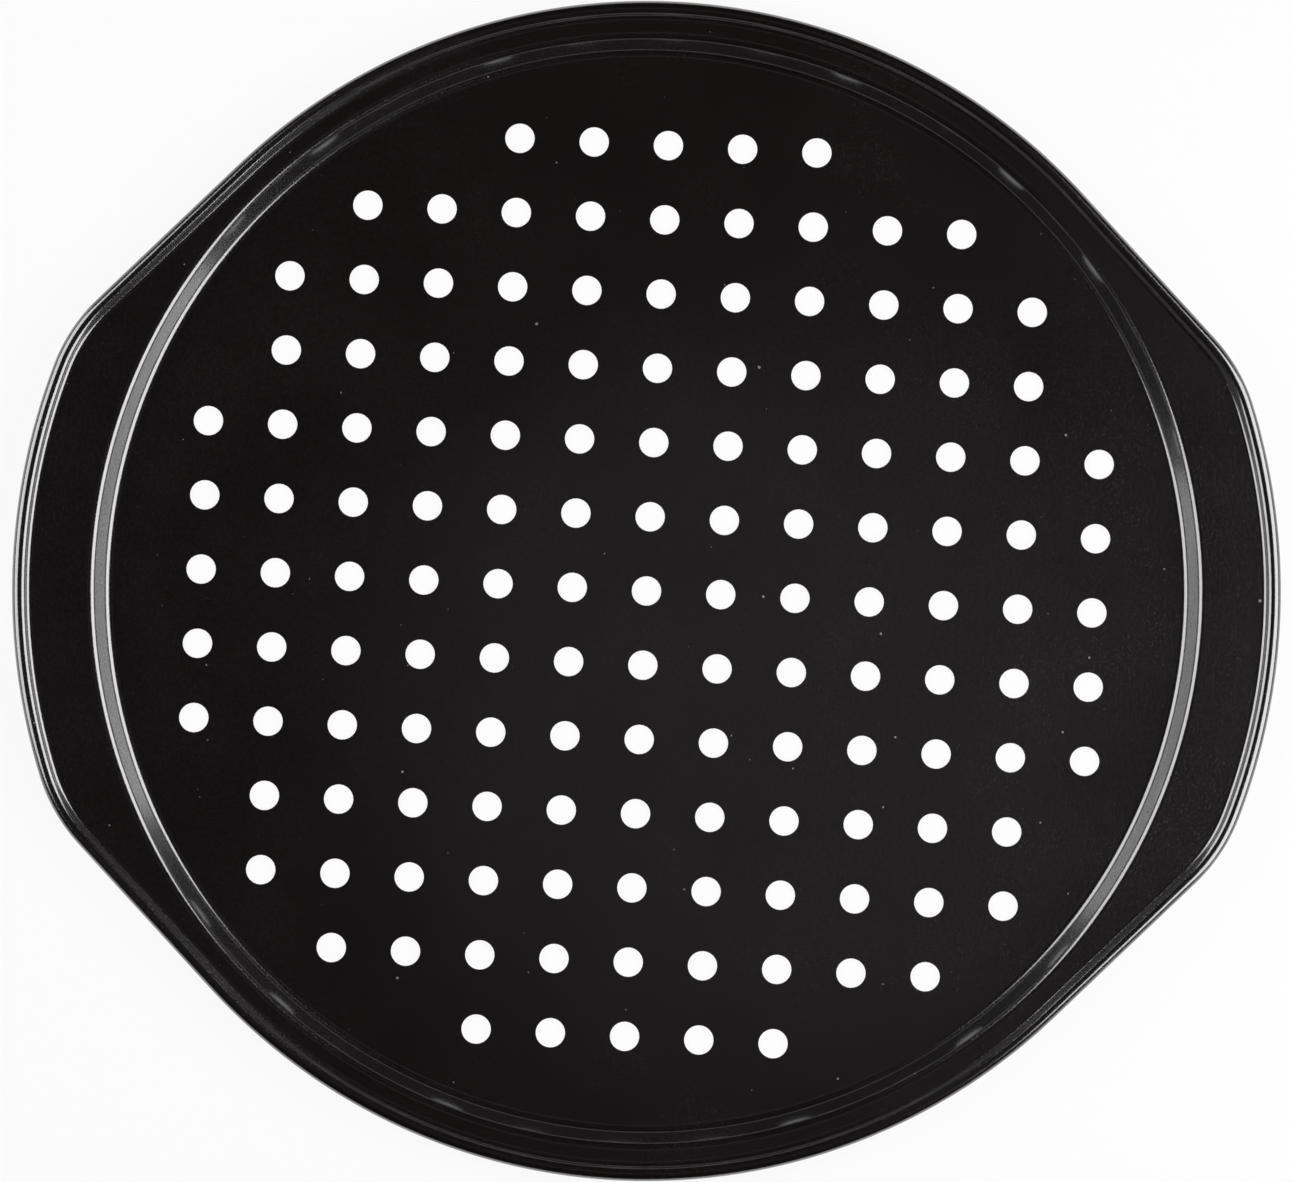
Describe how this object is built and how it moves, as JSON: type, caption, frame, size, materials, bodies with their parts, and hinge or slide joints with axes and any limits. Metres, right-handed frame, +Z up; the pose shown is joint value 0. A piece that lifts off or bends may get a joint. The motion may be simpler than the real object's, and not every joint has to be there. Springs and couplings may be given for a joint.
{
  "type": "pizza pan",
  "caption": "Shallow round perforated baking pan for pizza, pressed from coated sheet steel, with a sloped wall, two wing handles and a rolled, wired rim.",
  "frame": {"origin": "middle of the underside of the floor, which is the face that the pan stands on", "axes": "+X through the two handles, +Y across the round part, +Z up out of the dish"},
  "size_m": [0.344, 0.3198, 0.0076],
  "materials": {
    "nonstick_coating": "black non-stick coating, satin, with a fine grain, on sheet steel",
    "wire_steel": "plain drawn steel wire"
  },
  "bodies": {
    "root": {"pan_sheet": "nonstick_coating", "rim_wire": "wire_steel"}
  },
  "joints": []
}
